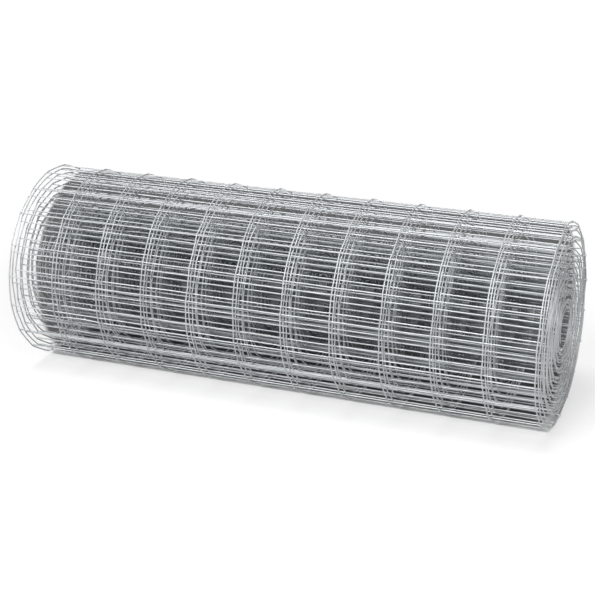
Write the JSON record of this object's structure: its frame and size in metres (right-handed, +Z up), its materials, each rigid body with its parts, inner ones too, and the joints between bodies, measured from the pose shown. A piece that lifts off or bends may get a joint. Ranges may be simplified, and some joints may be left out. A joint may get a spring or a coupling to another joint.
{
  "type": "roll of welded wire fencing",
  "caption": "Roll of galvanised welded wire mesh fencing lying on its side, wound in a spiral around an open bore.",
  "frame": {"origin": "on the floor, under the middle of the roll's bounding box", "axes": "+X along the roll's axis, +Y away from the side that the picture shows, +Z up"},
  "size_m": [0.838, 0.3074, 0.3026],
  "materials": {
    "galvanised_wire": "galvanised steel wire, light zinc grey, satin"
  },
  "bodies": {
    "root": {"fencing_roll": "galvanised_wire"}
  },
  "joints": []
}
